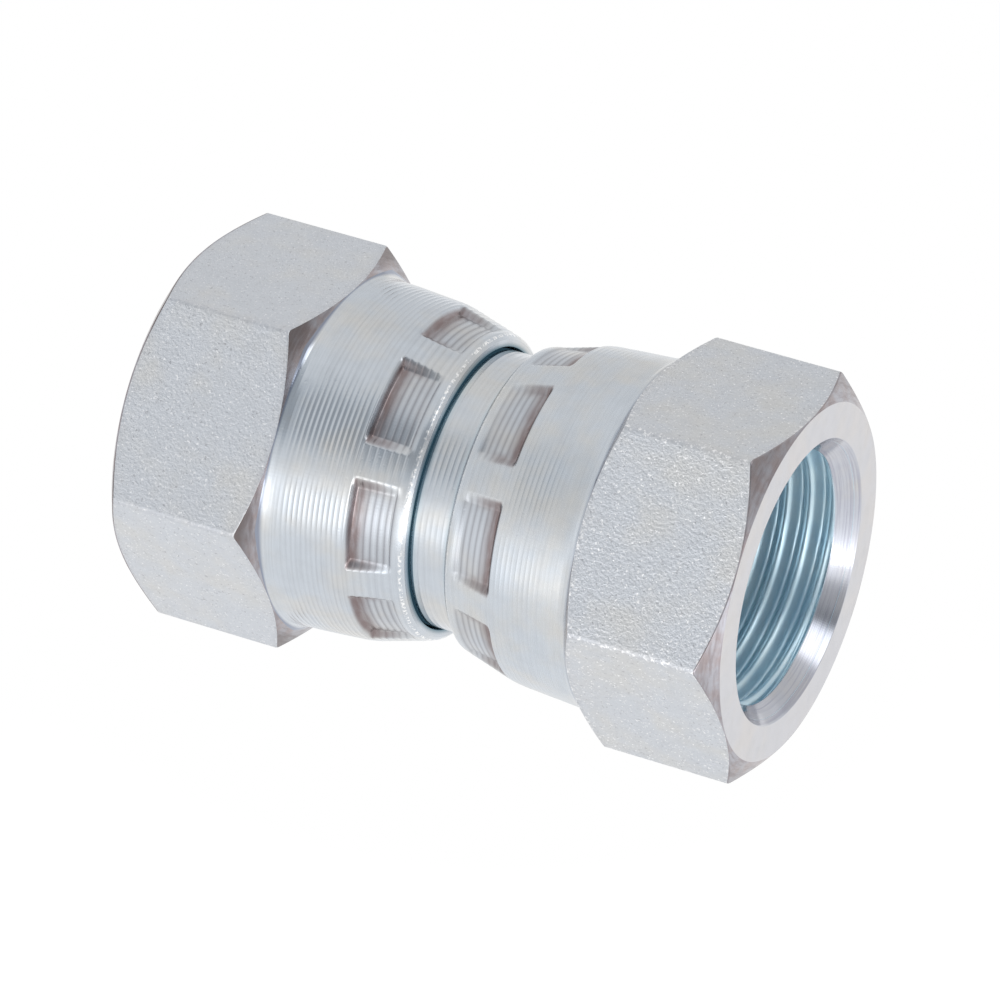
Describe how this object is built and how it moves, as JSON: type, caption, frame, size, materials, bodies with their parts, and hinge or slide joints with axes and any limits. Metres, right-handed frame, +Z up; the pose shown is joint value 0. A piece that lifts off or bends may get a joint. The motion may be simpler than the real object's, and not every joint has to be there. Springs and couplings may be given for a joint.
{
  "type": "swivel adapter",
  "caption": "Straight pipe adapter: a cone-nosed connector tube with a crimped hexagonal swivel nut at each end, joining two male pipe ends.",
  "frame": {"origin": "on the surface the nuts lie on, under the middle of the neck", "axes": "+X along the pipe axis towards the right nut, +Z up, square to the flats the nuts lie on"},
  "size_m": [0.0494, 0.031, 0.027],
  "materials": {
    "zinc_plated_steel": "satin bright zinc plating over turned and forged steel"
  },
  "bodies": {
    "connector": {"connector_tube": "zinc_plated_steel"},
    "left_nut": {"left_swivel_nut": "zinc_plated_steel"},
    "right_nut": {"right_swivel_nut": "zinc_plated_steel"}
  },
  "joints": [
    {"name": "left_nut_swivel", "type": "hinge", "parent": "connector", "child": "left_nut", "pos_m": [-0.01317, 0, 0.0135], "axis": [1, 0, 0], "continuous": true},
    {"name": "right_nut_swivel", "type": "hinge", "parent": "connector", "child": "right_nut", "pos_m": [0.01317, 0, 0.0135], "axis": [1, 0, 0], "continuous": true}
  ]
}
